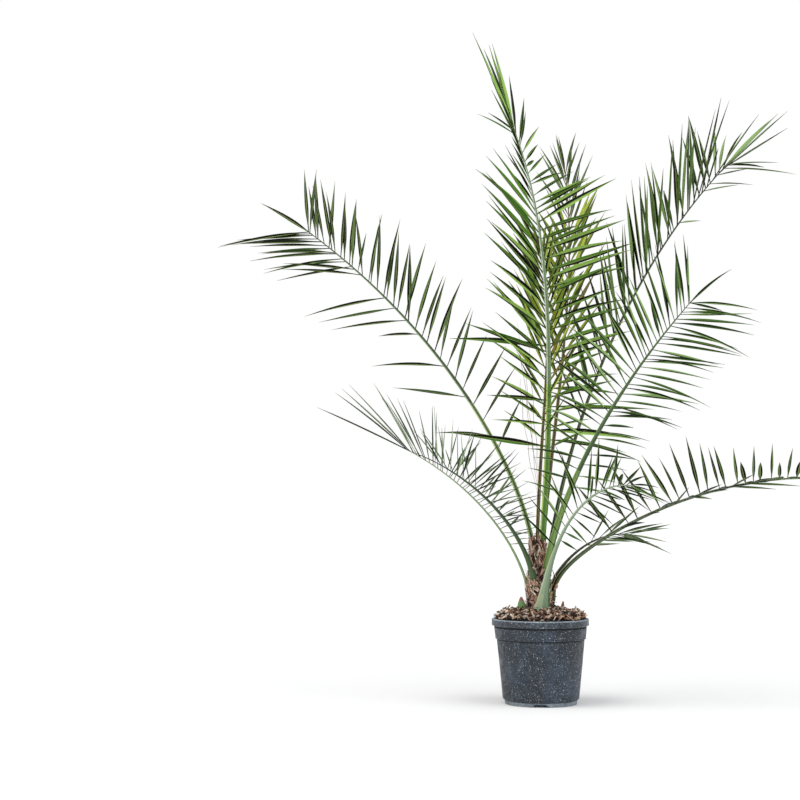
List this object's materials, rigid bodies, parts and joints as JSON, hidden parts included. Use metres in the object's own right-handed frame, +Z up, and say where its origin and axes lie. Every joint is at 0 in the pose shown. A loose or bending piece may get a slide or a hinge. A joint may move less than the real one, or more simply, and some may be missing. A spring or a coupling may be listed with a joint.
{
  "type": "potted young date palm",
  "caption": "Young date palm: arching feather fronds of folded leaflets rise from a short fibrous stem set in bark mulch in a round plastic nursery pot.",
  "frame": {"origin": "centre of the pot's flat underside, on the surface that the plant stands on", "axes": "+Z up along the pot's axis, -Y the side that the plant is looked at from, +X to that viewer's right"},
  "size_m": [1.4497, 0.933, 1.5455],
  "materials": {
    "pot_plastic": "satin",
    "bark_mulch": "rough",
    "stem_fibre": "rough",
    "leaf_stub": "rough",
    "frond_green": "satin",
    "frond_yellow_green": "satin"
  },
  "bodies": {
    "root": {"pot": "pot_plastic", "soil": "bark_mulch", "stem": "stem_fibre", "leaf_stub_left": "leaf_stub", "leaf_stub_right": "leaf_stub", "frond_tall_centre": "frond_green", "frond_back_right": "frond_yellow_green", "frond_upper_right": "frond_green", "frond_mid_right": "frond_green", "frond_low_right": "frond_green", "frond_front_right": "frond_green", "frond_upper_left": "frond_green", "frond_front_left": "frond_green", "frond_low_left": "frond_green", "frond_low_right_short": "frond_green", "frond_back_centre": "frond_yellow_green"}
  },
  "joints": []
}
